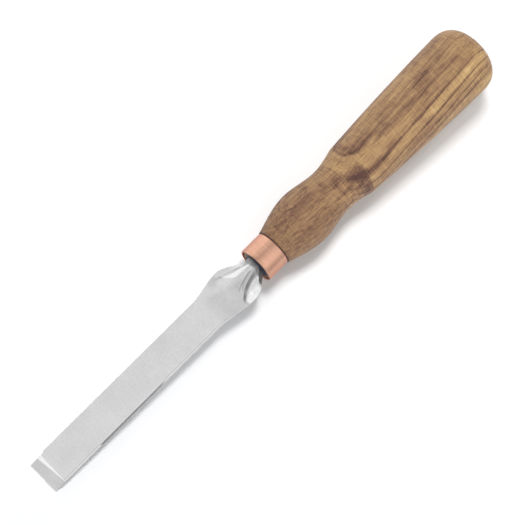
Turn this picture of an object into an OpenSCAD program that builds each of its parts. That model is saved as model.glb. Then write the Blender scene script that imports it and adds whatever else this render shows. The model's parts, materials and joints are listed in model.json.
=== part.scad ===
// Flat carving chisel: a forged steel blade with a flared shoulder and a hidden
// tapered tang, a copper ferrule and a turned wooden handle.
// The tool is drawn along x, with x = 0 at the mouth of the ferrule and the
// cutting edge at +x, then laid on the bench the way it comes to rest: flat back
// down, on its cutting edge and on the bulb of the handle.

/* [Blade] */
// Width of the blade at the cutting edge
blade_w = 16.2; // [12:0.1:18]
// How much narrower the blade is where it leaves the shoulder
blade_taper = 0.3; // [0:0.1:1]
// Length from the mouth of the ferrule to the cutting edge
blade_len = 132.2; // [110:0.2:160]
// Thickness of the blade where it leaves the shoulder
blade_t = 3.6; // [3:0.1:4.2]
// Thickness of the blade at the heel of the bevel
heel_t = 2.9; // [2.2:0.1:3.4]
// Depth of the flat back below the axis of the handle
back_depth = 1.6; // [1.3:0.1:2]
// Angle of the ground bevel, in degrees
bevel_angle = 25; // [20:1:32]
// Thickness left at the cutting edge
edge_land = 0.12; // [0.06:0.02:0.3]
// Width of the relief on the heel, at its wide end
heel_relief = 2; // [0.4:0.1:2.4]
// Height of the honed strip along the cutting edge
honed = 0.3; // [0.1:0.05:0.5]
// Softening along the long edges of the blade
edge_ease = 0.15; // [0.1:0.05:0.4]

/* [Shoulder] */
// Width over the two lobes of the shoulder
shoulder_w = 20.4; // [18.5:0.1:23]
// Distance from the ferrule to where the blade begins to flare
flare_start = 32; // [27:0.5:38]
// Distance from the ferrule to the widest point of the left lobe, seen from the cutting edge
lobe_at = 15.5; // [14:0.5:17]
// How much nearer the ferrule the right lobe is, as forged by hand
lobe_skew = 4; // [0:0.1:5]
// Distance from the ferrule at which the two hollows run out into the face
hollow_end = 16; // [15:0.5:20]
// Width of each hollow's inner slope, at its widest
hollow_w = 2.4; // [1.6:0.1:2.8]
// Width of the ridge between the hollows, at the neck
ridge_w = 3.4; // [3:0.1:4.2]
// How far the ridge lies to the left of the axis, as forged by hand
ridge_skew = 0.45; // [0:0.05:0.7]
// Depth of the hammer fold along the right side of the ridge
fold_depth = 0.28; // [0.05:0.01:0.4]
// Width bitten from the rim of the right lobe beside the neck
bite_w = 2.5; // [1:0.1:2.8]
// Width of the neck where it meets the handle
neck_w = 9.4; // [9:0.1:11.5]
// Thickness of the neck where it meets the handle
neck_t = 8; // [7.4:0.1:9]

/* [Tang] */
// Length of the tang behind the neck
tang_len = 72; // [50:1:90]
// Width of the tang at the neck
tang_w = 7.2; // [6:0.1:7.6]
// Thickness of the tang at the neck
tang_t = 6; // [5:0.1:6.4]
// Size of the square end of the tang
tang_end = 3; // [2:0.1:4]

/* [Ferrule] */
// Outside diameter of the ferrule
ferrule_d = 17.6; // [16.6:0.1:18]
// Wall of the copper tube
ferrule_wall = 0.8; // [0.6:0.1:1.2]
// Length of the ferrule
ferrule_len = 11.2; // [9:0.1:16]
// Rounding of the rim at the mouth of the ferrule
ferrule_round = 0.5; // [0.2:0.05:0.7]

/* [Handle] */
// Length from the mouth of the ferrule to the butt
handle_len = 142.6; // [130:0.2:160]
// Depth of the wooden tenon below the mouth of the ferrule
tenon_recess = 0.5; // [0.4:0.1:1.5]
// Diameter of the bulb behind the ferrule
bulb_d = 26.4; // [24:0.2:28]
// Distance of the bulb from the mouth of the ferrule
bulb_at = 30.7; // [28:0.1:33]
// Diameter of the waist
waist_d = 22.1; // [19:0.1:23]
// Distance of the waist from the mouth of the ferrule
waist_at = 48.5; // [46:0.5:51]
// Diameter at the crisp arris where the body begins
arris_d = 26.4; // [24:0.2:28]
// Distance of the arris from the mouth of the ferrule
arris_at = 61; // [58:0.5:65]
// Greatest diameter of the body
body_d = 32.5; // [29:0.1:33]
// Length of the rounded butt
butt_len = 12.6; // [9:0.2:18]
// Fullness of the rounded butt: 2 is an ellipse, more is squarer
butt_fullness = 2.5; // [2:0.1:3]

/* [Bore] */
// Diameter of the bore for the thick part of the tang
bore_d = 8.4; // [8:0.1:9]
// Depth of that bore below the mouth of the ferrule
bore_depth = 42; // [30:1:60]
// Diameter of the pilot bore beyond it
pilot_d = 6; // [5:0.1:7]
// Room left in the pilot bore past the end of the tang
pilot_room = 3; // [1:0.5:6]

/* [Hidden] */
$fn = 128;
// Half-width and reach of a block that is larger than any piece it cuts
big = 60;
// Height of the face above the axis, at the shoulder and at the heel
face_height = blade_t - back_depth;
heel_height = heel_t - back_depth;
// Where the neck seats, on a thin bed of adhesive over the tenon
glue_line = 0.3;
neck_back = glue_line - tenon_recess;
neck_front = 0.6;
// The ring of adhesive that is squeezed out round the neck
squeeze_height = 0.6;
squeeze_r = [6.4, 5.8];
// Where each lobe leaves the neck and how steeply, left then right
lobe_start = [neck_front + 0.2 * lobe_skew, neck_front];
lobe_rise = [0.05, 0.05 + 0.24 * lobe_skew];
// The hollows begin a little way in front of the neck and are widest in the middle
hollow_start = 2.4;
hollow_mid = 0.6 * hollow_end;
// Steepness of the hollows' inner slopes, left then right, how much of it the back has,
// the length over which the hollows run out and the bow of their slopes
hollow_slope = [0.5, 0.7];
back_share = 0.5;
runout_len = 1.5;
slope_bow = 1.3;
// The panel's border: how fast it spreads at the neck, at the middle of the hollows and at their
// end, how much wider it is at the middle and how far it stays inside the edges of the blade
neck_spread = 0.06;
mid_spread = [0.15, 0.42];
end_spread = 0.8;
mid_widening = [0.9, 1.25];
end_inset = [0.9, 0.3];
blade_inset = 1;
// Width of the inner slopes at the neck and where the hollows end, as shares of their greatest width
slope_at_neck = [0.4, 0.85];
slope_at_end = [0.1, 0.3];
slope_on_blade = 0.1;
// Height of the lobes' rims above the face, left then right, and where they reach it
lobe_lift = [-0.1, 0.2];
rim_settle = 0.4 * hollow_end;
// Width of the hammer fold on each side of its crease, and where it is full, begins to fade and ends
fold_w = 1.6;
fold_span = [4, 10, 14];
// The bite in the right rim at the neck, where it is deepest and where it ends
bite_at_neck = [0.6, 0.9];
bite_at = 2.8;
bite_end = 5.6;
// Steepness of the softened edges
ease_slope = 0.6;
// The honed strip is steeper than the bevel
hone_angle = 55;
hone_run = honed / tan(hone_angle);
// The bevel meets the face at this distance from the edge
bevel_run = (heel_t - edge_land - honed) / tan(bevel_angle) + hone_run;
// The relief cuts this deep at its wide end, which tips its plane
relief_depth = heel_relief / 2 * tan(bevel_angle / 2);
relief_roll = atan(relief_depth / blade_w);
// How far the tang is rooted into the neck
tang_root = 0.8;
// Joint line between the ferrule and the wood, which stands a little proud of the copper
joint_chamfer = 0.45;
wood_stand = 0.25;
wood_r = ferrule_d / 2 + wood_stand;
tenon_r = ferrule_d / 2 - ferrule_wall;
tenon_chamfer = 0.4;
copper_ease = [0.2, 0.3];
// Slopes of the handle's outline where it leaves the ferrule, at each side of the arris and at the butt
ferrule_slope = 0.28;
cove_slope = 0.26;
body_slope = [0.07, 0.02];
// Steps along a curve of the outline and round the butt
curve_steps = 9;
butt_steps = 14;
// Sections along the hollows and along the flare
hollow_sections = 28;
flare_sections = 8;
// Steps across the panel, the fold, a hollow's inner slope and a lobe
panel_steps = 5;
fold_steps = 4;
slope_steps = 5;
lobe_steps = 6;

// Smooth curve between two stations of [place, value, slope]
function span(a, b, s) =
    let (d = b[0] - a[0], t = (s - a[0]) / d)
    a[1] * (1 + 2 * t) * (1 - t)^2 + a[2] * d * t * (1 - t)^2
    + b[1] * t^2 * (3 - 2 * t) - b[2] * d * t^2 * (1 - t);

// Value at s on the smooth curve through all stations, level beyond its ends
function follow(stations, s) =
    let (last = len(stations) - 1,
         c = min(max(s, stations[0][0]), stations[last][0]),
         i = max([for (k = [0:last - 1]) if (k == 0 || c >= stations[k][0]) k]))
    span(stations[i], stations[i + 1], c);

// Half-width of the blade and shoulder at x, side 0 left (-y) and 1 right (+y)
function half_width(x, side) = follow([
    [lobe_start[side], neck_w / 2, lobe_rise[side]],
    [lobe_at - side * lobe_skew, shoulder_w / 2, 0],
    [flare_start, (blade_w - blade_taper) / 2, 0],
    [blade_len, blade_w / 2, 0]], x);

// Half-width of the raised panel that narrows from the face to the ridge
function border(x, side) =
    let (end = blade_w / 2 - end_inset[side])
    x > hollow_end ? follow([
        [hollow_end, end, 0],
        [flare_start, blade_w / 2 - blade_inset, 0]], x)
    : follow([
        [hollow_start, ridge_w / 2 + (1 - 2 * side) * ridge_skew, neck_spread],
        [hollow_mid, ridge_w / 2 + mid_widening[side], mid_spread[side]],
        [hollow_end, end, end_spread]], x);

// Width of the slope that falls from the panel to the bottom of the hollow
function slope_width(x, side) = hollow_w * follow([
    [hollow_start, slope_at_neck[side], 0],
    [hollow_mid, 1, 0],
    [hollow_end, slope_at_end[side], 0],
    [flare_start, slope_on_blade, 0]], x);

// Softening of the rim; on the right it is bitten away beside the neck
function rim_ease(x, side) = side == 0 ? edge_ease : follow([
    [neck_front, bite_at_neck[0], bite_at_neck[1]],
    [bite_at, bite_w, 0],
    [bite_end, edge_ease, 0]], x);

// Depth of the fold: it deepens gently to its crease and rises again to the right border
function fold(x, y) =
    let (crest = border(x, 1),
         crease = crest - fold_w,
         shown = follow([
             [hollow_start, 0, 0], [fold_span[0], 1, 0], [fold_span[1], 1, 0], [fold_span[2], 0, 0]], x))
    fold_depth * shown * (y < crease ? max(0, 1 + (y - crease) / fold_w)^2
        : max(0, (crest - y) / fold_w));

// Height of the panel, which rises from the flat of the blade to the neck
function panel_height(x, flat) = follow([
    [neck_front, neck_t / 2, 0],
    [hollow_end, flat, 0]], x);

// Height of the lobes' rims
function rim_height(x, flat, side) = follow([
    [neck_front, neck_t / 3, 0],
    [rim_settle, flat + lobe_lift[side], 0],
    [hollow_end, flat, 0]], x);

// Height of the forged skin at a point: panel, slope down to the hollow, lobe up to the rim
function skin(x, y, flat, share) =
    let (side = y < 0 ? 0 : 1,
         inner = border(x, side),
         wide = slope_width(x, side),
         outer = half_width(x, side) - rim_ease(x, side),
         runout = follow([[hollow_end - runout_len, 1, 0], [hollow_end, 0, 0]], x),
         low = panel_height(x, flat) - share * hollow_slope[side] * wide * runout,
         down = min(1, max(0, (abs(y) - inner) / wide)),
         up = min(1, max(0, (abs(y) - inner - wide) / (outer - inner - wide))))
    low + (panel_height(x, flat) - low) * (1 - down)^slope_bow
    + (rim_height(x, flat, side) - low) * up^slope_bow;

// Flat of the blade at x, which thins towards the heel
function face_at(x) =
    x <= flare_start ? face_height
    : face_height + (heel_height - face_height) * (x - flare_start) / (blade_len - flare_start);

// Places on one side of a section, from the panel's border out to the edge
function side_places(x, side) =
    let (inner = border(x, side),
         foot = inner + slope_width(x, side),
         outer = half_width(x, side) - rim_ease(x, side))
    concat(
        [for (i = [0:slope_steps - 1]) inner + (foot - inner) * i / slope_steps],
        [for (i = [0:lobe_steps]) foot + (outer - foot) * i / lobe_steps],
        [half_width(x, side)]);

// Places across a whole section, from the left edge to the right
function across(x) =
    let (left = side_places(x, 0),
         right = side_places(x, 1),
         crease = right[0] - fold_w)
    concat(
        [for (i = [len(left) - 1:-1:0]) -left[i]],
        [for (i = [1:panel_steps]) -left[0] + (crease + left[0]) * i / panel_steps],
        [for (i = [1:fold_steps - 1]) crease + fold_w * i / fold_steps],
        right);

// A full section: the face from left to right, then the back from left to right
function section(x) =
    let (row = across(x),
         last = len(row) - 1,
         drop = [for (i = [0:last]) i == 0 ? rim_ease(x, 0) : i == last ? rim_ease(x, 1) : 0])
    concat(
        [for (i = [0:last])
            [x, row[i], skin(x, row[i], face_at(x), 1) - fold(x, row[i]) - ease_slope * drop[i]]],
        [for (i = [0:last])
            [x, row[i], min(edge_ease, drop[i]) - skin(x, row[i], back_depth, back_share)]]);

// Sections along the blade: close together where the hollows are
stations = concat(
    [neck_back],
    [for (i = [0:hollow_sections]) neck_front + (hollow_end - neck_front) * i / hollow_sections],
    [for (i = [1:flare_sections]) hollow_end + (flare_start - hollow_end) * i / flare_sections],
    [blade_len]);

// The two triangles of a four-cornered patch
function patch(a, b, c, d) = [[a, b, c], [a, c, d]];

// Solid through a row of sections that each list the same number of points,
// first across the face and then across the back
module loft(sections) {
    m = len(sections[0]);
    n = m / 2;
    last = len(sections) - 1;
    sheets = [for (i = [0:last - 1], j = [0:n - 2]) each concat(
        patch(i * m + j, i * m + j + 1, (i + 1) * m + j + 1, (i + 1) * m + j),
        patch(i * m + n + j, (i + 1) * m + n + j, (i + 1) * m + n + j + 1, i * m + n + j + 1))];
    rims = [for (i = [0:last - 1]) each concat(
        patch(i * m, (i + 1) * m, (i + 1) * m + n, i * m + n),
        patch(i * m + n - 1, i * m + m - 1, (i + 1) * m + m - 1, (i + 1) * m + n - 1))];
    ends = [for (j = [0:n - 2]) each concat(
        patch(j, n + j, n + j + 1, j + 1),
        patch(last * m + j, last * m + j + 1, last * m + n + j + 1, last * m + n + j))];
    polyhedron([for (s = sections) each s], concat(sheets, rims, ends));
}

// Half-space above a plane through the origin that faces up and forward
module above(angle) {
    rotate([0, angle, 0]) translate([-big, -big, 0]) cube(2 * big);
}

// Square tang that tapers to a blunt end
module tang() {
    root = neck_back + tang_root;
    end = neck_back - tang_len;
    intersection() {
        translate([0, 0, -big / 2]) linear_extrude(big)
            polygon([[root, tang_w / 2], [root, -tang_w / 2], [end, -tang_end / 2], [end, tang_end / 2]]);
        rotate([90, 0, 0]) translate([0, 0, -big / 2]) linear_extrude(big)
            polygon([[root, tang_t / 2], [root, -tang_t / 2], [end, -tang_end / 2], [end, tang_end / 2]]);
    }
}

// The neck alone, behind where the lobes begin
module neck() {
    base = section(neck_front);
    n = len(base) / 2;
    around = concat([for (i = [0:n - 1]) base[i]], [for (i = [n - 1:-1:0]) base[n + i]]);
    translate([neck_back, 0, 0]) rotate([90, 0, 90]) linear_extrude(neck_front - neck_back)
        polygon([for (p = around) [p[1], p[2]]]);
}

// Outline of the handle behind the ferrule, as [radius, distance from the mouth]
body_end = handle_len - butt_len;
curves = [
    [[ferrule_len + joint_chamfer, wood_r, ferrule_slope], [bulb_at, bulb_d / 2, 0]],
    [[bulb_at, bulb_d / 2, 0], [waist_at, waist_d / 2, 0]],
    [[waist_at, waist_d / 2, 0], [arris_at, arris_d / 2, cove_slope]],
    [[arris_at, arris_d / 2, body_slope[0]], [body_end, body_d / 2, body_slope[1]]]];
turned = [for (c = curves, i = [0:curve_steps - 1])
    let (s = c[0][0] + (c[1][0] - c[0][0]) * i / curve_steps) [span(c[0], c[1], s), s]];
butt = [for (i = [0:butt_steps])
    let (a = 90 * i / butt_steps, e = 2 / butt_fullness)
    [body_d / 2 * cos(a)^e, body_end + butt_len * sin(a)^e]];
handle_outline = concat(turned, butt);

// The tool rests on its edge and on the bulb, which sets the tilt of its axis
rest_tilt = atan(max([for (p = handle_outline) (p[0] - back_depth) / (blade_len + p[1])]));
rest_height = blade_len * sin(rest_tilt) + back_depth * cos(rest_tilt);
edge_reach = blade_len * cos(rest_tilt) - (back_depth - edge_land) * sin(rest_tilt);
butt_reach = max([for (p = handle_outline) p[1] * cos(rest_tilt) + p[0] * sin(rest_tilt)]);
middle = (edge_reach - butt_reach) / 2;

// Lays a piece on the bench, with the middle of the tool over the origin
module on_bench() {
    translate([-middle, 0, rest_height]) rotate([0, rest_tilt, 0]) children();
}

// Turns an outline of [radius, distance behind the mouth] about the axis of the handle
module turn(outline) {
    rotate([0, 90, 0]) rotate_extrude() polygon([for (p = outline) [p[0], -p[1]]]);
}

// Round hole or plug of diameter d along the axis, between two depths behind the mouth
module along_axis(d, from, to) {
    translate([-to, 0, 0]) rotate([0, 90, 0]) cylinder(d = d, h = to - from);
}

// Bore of the handle: a wide bore and then a pilot for the thin end of the tang
module bores(mouth) {
    along_axis(bore_d, mouth, bore_depth);
    along_axis(pilot_d, mouth, tang_len - neck_back + pilot_room);
}

// Blade, shoulder, neck and tang, forged as one piece and ground
module blade() {
    color("gainsboro") on_bench() union() {
        difference() {
            loft([for (x = stations) section(x)]);
            translate([blade_len, 0, edge_land - back_depth]) above(hone_angle);
            translate([blade_len - hone_run, 0, edge_land + honed - back_depth]) above(bevel_angle);
            translate([blade_len - bevel_run, blade_w / 2, heel_height])
                rotate([relief_roll, 0, 0]) above(bevel_angle / 2);
        }
        tang();
    }
}

// Copper ring, cut from tube, with a rounded rim at its mouth
module ferrule() {
    outer = ferrule_d / 2;
    rim = [for (a = [0:15:90])
        [outer - ferrule_round * (1 - sin(a)), ferrule_round * (1 - cos(a))]];
    color("peru") on_bench() turn(concat(
        [[tenon_r, ferrule_len], [tenon_r, copper_ease[0]], [tenon_r + copper_ease[0], 0]],
        rim,
        [[outer, ferrule_len - copper_ease[1]], [outer - copper_ease[1], ferrule_len]]));
}

// Turned handle: tenon, bulb, waist and body, bored for the tang
module handle() {
    color("burlywood") on_bench() difference() {
        turn(concat(
            [[0, tenon_recess],
             [tenon_r - tenon_chamfer, tenon_recess],
             [tenon_r, tenon_recess + tenon_chamfer],
             [tenon_r, ferrule_len],
             [wood_r - joint_chamfer, ferrule_len]],
            handle_outline));
        bores(0);
        tang();
    }
}

// Cured adhesive that fills the bore round the tang and beds the neck on the tenon
module tang_adhesive() {
    color("darkslategray") on_bench() difference() {
        union() {
            bores(tenon_recess);
            translate([-tenon_recess, 0, 0]) rotate([0, 90, 0])
                cylinder(h = squeeze_height, r1 = squeeze_r[0], r2 = squeeze_r[1]);
        }
        neck();
        tang();
    }
}

blade();
ferrule();
handle();
tang_adhesive();
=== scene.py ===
"""Looks of a flat carving chisel, lying on a pale floor as it comes to rest.

Shapes are worked out in the tool's own axes, in millimetres: x runs along the
handle with 0 at the mouth of the ferrule and the cutting edge at +x, y runs across
the blade and z stands up from its face. Each finished piece is then laid on the
bench and holds its place in its mesh, in metres.
"""
import json
import math
import bpy
from mathutils import Matrix, Vector, noise


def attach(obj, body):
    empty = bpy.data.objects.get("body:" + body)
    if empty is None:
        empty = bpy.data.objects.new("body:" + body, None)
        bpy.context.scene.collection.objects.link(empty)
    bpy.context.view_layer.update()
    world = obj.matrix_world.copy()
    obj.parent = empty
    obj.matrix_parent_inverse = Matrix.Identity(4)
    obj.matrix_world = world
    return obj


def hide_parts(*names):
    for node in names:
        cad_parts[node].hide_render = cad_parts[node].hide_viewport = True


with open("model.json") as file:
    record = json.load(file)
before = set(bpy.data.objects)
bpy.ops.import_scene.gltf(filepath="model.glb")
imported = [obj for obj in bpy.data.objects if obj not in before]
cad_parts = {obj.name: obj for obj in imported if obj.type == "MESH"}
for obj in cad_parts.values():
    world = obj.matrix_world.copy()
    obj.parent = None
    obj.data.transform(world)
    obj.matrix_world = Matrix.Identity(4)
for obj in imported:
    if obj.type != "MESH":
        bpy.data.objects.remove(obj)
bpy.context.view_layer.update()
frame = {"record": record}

MM = 0.001
WHITE = (1.0, 1.0, 1.0, 1.0)

# Blade, its flat part and its ground end, in millimetres
BLADE_LEN = 132.2
BLADE_W = 16.2
BLADE_TAPER = 0.3
BACK_DEPTH = 1.6
FACE_HEIGHT = 2.0
HEEL_HEIGHT = 1.3
BEVEL_RISE = math.tan(math.radians(25.0))
EDGE_LAND = 0.12
HONED = 0.3
HONE_RISE = math.tan(math.radians(55.0))
HEEL_RELIEF = 1.1
RELIEF_RISE = math.tan(math.radians(18.5))
HONE_X = BLADE_LEN - HONED / HONE_RISE
HONE_Z = EDGE_LAND - BACK_DEPTH + HONED
HEEL_AT = HONE_X - (HEEL_HEIGHT - HONE_Z) / BEVEL_RISE
EDGE_EASE = 0.15
CROWN_W = 0.6
CROWN_SLOPE = 0.2
CROWN_SHOWN = ((12.0, 0.0, 0.0), (18.0, 1.0, 0.0))
NIP = 0.65
NIP_SPAN = (123.2, 125.8)

# Blade, its forged shoulder and neck; a pair of values is for the left and the right side
SHOULDER_W = 20.4
FLARE_START = 32.0
FLARE_NARROWS = (SHOULDER_W - BLADE_W + BLADE_TAPER) / 2
LOBE_AT = (15.5, 11.5)
LOBE_START = (1.4, 0.6)
LOBE_RISE = (0.05, 1.01)
LOBE_LIFT = 0.55
LOBE_POWER = (0.65, 1.3)
HOLLOW_START = 2.4
HOLLOW_END = 16.0
HOLLOW_MID = 0.6 * HOLLOW_END
HOLLOW_W = 2.4
HOLLOW_SLOPE = (0.5, 0.7)
HOLLOW_POWER = (1.3, 1.1)
BACK_SHARE = 0.5
BACK_LIFT = (-0.1, 0.2)
BACK_SETTLES = 0.4 * HOLLOW_END
RIDGE_W = 3.4
RIDGE_SKEW = (0.45, -0.45)
RIDGE_SLOPE = 0.06
PANEL_SPREAD = (0.9, 1.25)
PANEL_SLOPE = (0.15, 0.42)
PANEL_INSET = (0.9, 0.3)
PANEL_END_SLOPE = 0.8
PANEL_LAST_INSET = 1.3
WALL_FIRST = (0.4, 0.85)
WALL_END = (0.35, 0.3)
WALL_LAST = 0.1
RUNOUT = (1.5, 2.5)
FOLD_DEPTH = 0.34
FOLD_W = 1.6
FOLD_SHOWN = ((1.0, 0.0, 0.0), (5.0, 1.0, 0.0), (10.0, 1.0, 0.0), (14.0, 0.0, 0.0))
CREASE_W = 0.9
BITE_FIRST_W = 0.6
BITE_OPENS = 0.9
BITE_AT = 3.2
BITE_END = 6.2
BITE_W = 2.5
BITE_SHARE = 0.65
BITE_SLOPE = 0.6
NECK_W = 9.4
NECK_T = 8.0
NECK_BACK = -0.2
NECK_FRONT = 0.6
LEFT_RIM_LOW = ((6.0, 0.65, 0.0), (HOLLOW_END, 0.0, 0.0))
RIGHT_RIM = (
    (NECK_FRONT, 2.3, 0.0),
    (5.5, 3.1, 0.0),
    (11.0, FACE_HEIGHT + LOBE_LIFT, -0.1),
    (HOLLOW_END, FACE_HEIGHT, 0.0))
HAMMER_SHOWN = ((0.0, 1.0, 0.0), (HOLLOW_END, 1.0, 0.0), (FLARE_START, 0.0, 0.0))
HAMMER_FINE = 0.35
HAMMER_DEPTH = 0.04
HAMMER_LAYER = 3.0

# Tang
TANG_LEN = 72.0
TANG_W = 7.2
TANG_T = 6.0
TANG_END = 3.0

# Points and sections of the blade's skin
PANEL_POINTS = 14
CREASE_POINTS = 6
FOLD_POINTS = 6
WALL_POINTS = 10
LOBE_POINTS = 14
RIM_PLACES = (0.0, 0.25, 0.5, 0.66, 0.85, 0.97, 1.0)
SHOULDER_SECTIONS = 70
FLARE_SECTIONS = 24
FLAT_SECTIONS = 10
NIP_SECTIONS = 6

# Ferrule and handle; the handle's places are measured back from the mouth of the ferrule
ROUND_POINTS = 160
CURVE_POINTS = 24
BUTT_POINTS = 32
FERRULE_R = 8.8
FERRULE_WALL = 0.8
FERRULE_LEN = 11.2
FERRULE_ROUND = 0.5
FERRULE_INNER_ROUND = 0.2
FERRULE_BACK_ROUND = 0.3
SAME_PLACE = 0.01
HANDLE_LEN = 142.6
BORE_R = 4.2
BORE_DEPTH = 42.0
PILOT_R = 3.0
PILOT_END = TANG_LEN - NECK_BACK + 3.0
POLE_R = 0.2
TENON_RECESS = 0.5
TENON_R = FERRULE_R - FERRULE_WALL
TENON_CHAMFER = 0.4
WOOD_R = FERRULE_R + 0.25
WOOD_SLOPE = 0.28
JOINT_CHAMFER = 0.45
BULB_AT = 30.7
BULB_R = 13.2
WAIST_AT = 48.5
WAIST_R = 11.05
WAIST_SLOPE = 0.26
ARRIS_AT = 61.0
ARRIS_R = 13.2
ARRIS_LEAN = 1.5
LEAN_FADES = 20.0
BODY_R = 16.25
BODY_SLOPE = 0.07
BODY_END_SLOPE = 0.02
BUTT_LEN = 12.6
BUTT_FULLNESS = 2.5

# Where the tool lies: its axis from the record's grip mount, its origin at the mouth of the ferrule
mounts = {mount["name"]: mount for mount in frame["record"]["mounts"]}
AXIS = Vector(mounts["handle_grip"]["axis"]).normalized()
MOUTH = Vector(mounts["handle_grip"]["pos_m"]) + AXIS * WAIST_AT * MM
TILT = math.asin(-AXIS.z)
BENCH = Matrix.Translation(MOUTH) @ Matrix.Rotation(TILT, 4, "Y")

# The picture: 525 pixels square, the tool running up to the right
PICTURE = 525
PIXELS_PER_MM = 2.287
CAMERA_FAR = 1600.0
CAMERA_REACH = 100.0
AXIS_TO_PICTURE = math.radians(13.1)
AXIS_IN_PICTURE = math.radians(44.86)
AIM = Vector((-3.3, 1.07, 0.0))
SENSOR = 36.0


def camera():
    """Stands the camera on the tip's side, square across the blade and rolled to the picture."""
    lean = AXIS_TO_PICTURE
    back = Vector((math.sin(lean), 0.0, math.cos(lean)))
    to_butt = Vector((-math.cos(lean), 0.0, math.sin(lean)))
    sideways = Vector((0.0, 1.0, 0.0))
    turn = AXIS_IN_PICTURE
    right = to_butt * math.cos(turn) + sideways * math.sin(turn)
    up = to_butt * math.sin(turn) - sideways * math.cos(turn)
    data = bpy.data.cameras.new("picture_camera")
    data.sensor_width = SENSOR
    data.lens = SENSOR * CAMERA_FAR * PIXELS_PER_MM / PICTURE
    data.clip_end = CAMERA_REACH
    view = bpy.data.objects.new("picture_camera", data)
    bpy.context.scene.collection.objects.link(view)
    turned = Matrix((right, up, back)).transposed().to_4x4()
    place = Matrix.Translation((AIM + back * CAMERA_FAR) * MM)
    view.matrix_world = BENCH @ place @ turned
    bpy.context.scene.camera = view


def srgb(red, green, blue):
    """A colour given as it looks on screen, 0 to 255, as the shader needs it."""
    def linear(level):
        level = level / 255.0
        return level / 12.92 if level <= 0.04045 else ((level + 0.055) / 1.055) ** 2.4
    return (linear(red), linear(green), linear(blue), 1.0)


class Wire:
    """One value in a material; arithmetic on it adds Math nodes."""

    def __init__(self, finish, socket):
        self.finish = finish
        self.socket = socket

    def math(self, operation, *values):
        return self.finish.node("ShaderNodeMath", {"operation": operation}, dict(enumerate(values)))

    def __add__(self, other):
        return self.math("ADD", self, other)

    __radd__ = __add__

    def __sub__(self, other):
        return self.math("SUBTRACT", self, other)

    def __rsub__(self, other):
        return self.math("SUBTRACT", other, self)

    def __mul__(self, other):
        return self.math("MULTIPLY", self, other)

    __rmul__ = __mul__

    def __truediv__(self, other):
        return self.math("DIVIDE", self, other)

    def __pow__(self, other):
        return self.math("POWER", self, other)

    def __abs__(self):
        return self.math("ABSOLUTE", self)


class Finish:
    """The nodes of a material, or of the world, under construction."""

    def __init__(self, owner):
        owner.use_nodes = True
        self.owner = owner
        self.tree = owner.node_tree
        self.tree.nodes.clear()

    def node(self, kind, settings, sockets, output=0):
        """Adds a node, applies its settings, fills its sockets and returns one output."""
        node = self.tree.nodes.new(kind)
        for name, value in settings.items():
            if name == "stops":
                elements = node.color_ramp.elements
                elements.remove(elements[1])
                elements[0].position, elements[0].color = value[0]
                for place, colour in value[1:]:
                    elements.new(place).color = colour
            else:
                setattr(node, name, value)
        for name, value in sockets.items():
            if isinstance(value, Wire):
                self.tree.links.new(value.socket, node.inputs[name])
            else:
                node.inputs[name].default_value = value
        return Wire(self, node.outputs[output]) if node.outputs else None

    def tool_axes(self):
        """The tool's own axes, in millimetres, as a vector."""
        place = self.node("ShaderNodeTexCoord", {}, {}, "Object")
        return self.node("ShaderNodeMapping", {"vector_type": "TEXTURE"}, {
            "Vector": place,
            "Location": MOUTH,
            "Rotation": (0.0, TILT, 0.0),
            "Scale": (MM, MM, MM)})

    def split(self, vector):
        return [self.node("ShaderNodeSeparateXYZ", {}, {"Vector": vector}, axis) for axis in "XYZ"]

    def join(self, x, y, z):
        return self.node("ShaderNodeCombineXYZ", {}, {"X": x, "Y": y, "Z": z})

    def noise(self, vector, scale=1.0, detail=2.0, roughness=0.5):
        """Smooth noise about 0."""
        return self.node("ShaderNodeTexNoise", {}, {
            "Vector": vector, "Scale": scale, "Detail": detail, "Roughness": roughness}, "Fac") - 0.5

    def ramp(self, value, off, full, soft=True):
        """0 at the first place and beyond, 1 at the second and beyond, whichever is higher."""
        kind = "SMOOTHSTEP" if soft else "LINEAR"
        return self.node("ShaderNodeMapRange", {"interpolation_type": kind}, {
            "Value": value, "From Min": off, "From Max": full})

    def window(self, value, places):
        """Comes up over the first pair of places and goes down over the second."""
        (off, full), (fading, gone) = places
        return self.ramp(value, off, full) * self.ramp(value, gone, fading)

    def marked(self, tone, marks):
        """The tone, made lighter or darker by each mark in its own measure."""
        for mark, amount in marks:
            tone = tone + mark * amount
        return tone

    def colours(self, value, stops):
        return self.node("ShaderNodeValToRGB", {"stops": stops}, {"Fac": value})

    def mix(self, share, first, second, blend="MIX"):
        return self.node("ShaderNodeMix", {"data_type": "RGBA", "blend_type": blend}, {
            0: share, 6: first, 7: second}, 2)

    def shaded(self, colour, tone):
        """The colour times the tone."""
        return self.mix(1.0, colour, self.join(tone, tone, tone), "MULTIPLY")

    def bump(self, height, strength, distance):
        return self.node("ShaderNodeBump", {}, {
            "Height": height, "Strength": strength, "Distance": distance})

    def looked_at(self):
        """1 on rays from the camera, and on those seen in metal or through glass."""
        seen = self.node("ShaderNodeLightPath", {}, {}, "Is Camera Ray")
        glossy = self.node("ShaderNodeLightPath", {}, {}, "Is Glossy Ray")
        through = self.node("ShaderNodeLightPath", {}, {}, "Is Transmission Ray")
        return seen + glossy + through

    def surface(self, sockets):
        shader = self.node("ShaderNodeBsdfPrincipled", {}, sockets)
        self.node("ShaderNodeOutputMaterial", {}, {"Surface": shader})
        return self.owner


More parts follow.
